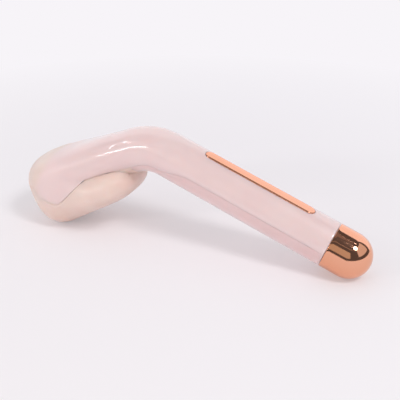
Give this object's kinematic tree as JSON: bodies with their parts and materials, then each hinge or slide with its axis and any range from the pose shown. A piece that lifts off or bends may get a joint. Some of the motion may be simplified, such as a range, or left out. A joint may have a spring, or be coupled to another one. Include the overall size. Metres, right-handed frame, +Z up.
{
  "type": "heated eye massager wand",
  "caption": "Bent hand wand with a broad warm silicone head, a round handle with a long metal press key on top and a domed pull-off end cap over its charging socket.",
  "frame": {"origin": "middle of the wand's box, on the table plane that the head and the cap rest on", "axes": "+X along the wand towards the end cap, +Y across it, +Z up"},
  "size_m": [0.1634, 0.0376, 0.0523],
  "materials": {
    "casing_pink": "glossy pale pink, faintly pearly",
    "pad_cream": "soft milky translucent silicone",
    "rose_gold": "polished rose gold plating",
    "inner_plastic": "moulded",
    "aluminium": "plain",
    "film_amber": "polyimide film",
    "foam_white": "fine closed-cell foam",
    "steel": "plain",
    "rubber_dark": "matte",
    "rubber_white": "matte",
    "cell_wrap": "shrink wrap",
    "board_green": "solder mask",
    "chip_black": "moulded",
    "light_white": "clear resin",
    "wire_red": "insulation",
    "wire_blue": "insulation",
    "wire_white": "insulation"
  },
  "bodies": {
    "casing": {"upper_shell": "casing_pink", "lower_shell": "casing_pink", "massage_pad": "pad_cream", "heat_spreader": "aluminium", "heating_film": "film_amber", "temperature_sensor": "chip_black", "foam_insulator": "foam_white", "head_chassis": "inner_plastic", "chassis_screws": "steel", "motor_sleeve": "rubber_dark", "motor_can": "steel", "battery_cell": "cell_wrap", "battery_cradle": "inner_plastic", "control_board": "board_green", "control_chips": "chip_black", "status_light": "light_white", "switch_body": "chip_black", "return_pads": "rubber_white", "tail_plug": "inner_plastic", "charging_socket": "steel", "charging_board": "board_green", "cap_seal_ring": "rubber_dark", "battery_leads": "wire_red", "charging_leads": "wire_white", "motor_leads": "wire_blue", "heater_leads": "wire_white"},
    "key": {"power_key": "rose_gold", "switch_plunger": "inner_plastic"},
    "cap": {"end_cap": "rose_gold", "cap_liner": "inner_plastic"},
    "motor_rotor": {"motor_shaft": "steel", "eccentric_weight": "steel"}
  },
  "joints": [
    {"name": "key_press", "type": "slide", "parent": "casing", "child": "key", "axis": [-0.3529, 0, -0.9357], "range_m": [0, 0.0005], "stiffness_N_per_m": 1500, "springref_m": -0.0004},
    {"name": "cap_pull", "type": "slide", "parent": "casing", "child": "cap", "axis": [0.9357, 0, -0.3529], "range_m": [0, 0.025]},
    {"name": "motor_spin", "type": "hinge", "parent": "casing", "child": "motor_rotor", "pos_m": [-0.05295, 0, 0.02304], "axis": [-0.8566, 0, -0.5159], "continuous": true}
  ]
}
